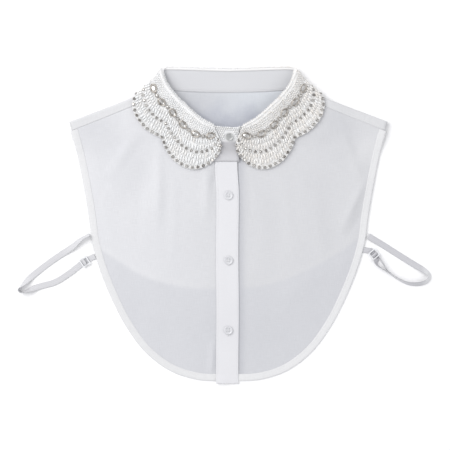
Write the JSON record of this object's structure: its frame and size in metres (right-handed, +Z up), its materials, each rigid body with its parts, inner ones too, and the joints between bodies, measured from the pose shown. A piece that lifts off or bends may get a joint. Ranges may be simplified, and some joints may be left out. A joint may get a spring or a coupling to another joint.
{
  "type": "detachable shirt collar",
  "caption": "Sheer white button-front dickey with a stand and a scalloped leaf edged with beads and stones, lying flat with its elastic side straps out",
  "frame": {"origin": "middle of the whole piece as it lies, at table height", "axes": "+Z up from the table, +Y toward the back neck, +X toward the wearer's left strap"},
  "size_m": [0.4636, 0.3549, 0.0159],
  "materials": {
    "white_voile": "sheer plain weave, matte",
    "beaded_voile": "cloth covered with white and cream beads",
    "white_elastic": "fine ribbed elastic",
    "silver_scroll": "aged silver with foiled stones",
    "button_white": "glossy",
    "slider_plastic": "glossy"
  },
  "bodies": {
    "root": {"back_panel": "white_voile", "back_hem_band": "white_voile", "front_right": "white_voile", "front_left": "white_voile", "front_band_right": "white_voile", "front_band_left": "white_voile", "placket": "white_voile", "button_stand": "white_voile", "collar_stand": "white_voile", "collar_leaf": "beaded_voile", "chain_right": "silver_scroll", "chain_left": "silver_scroll", "strap_left": "white_elastic", "strap_right": "white_elastic", "strap_tab_left": "white_elastic", "strap_tab_right": "white_elastic", "slider_left": "slider_plastic", "slider_right": "slider_plastic", "button_1": "button_white", "button_2": "button_white", "button_3": "button_white", "button_neck": "button_white"}
  },
  "joints": []
}
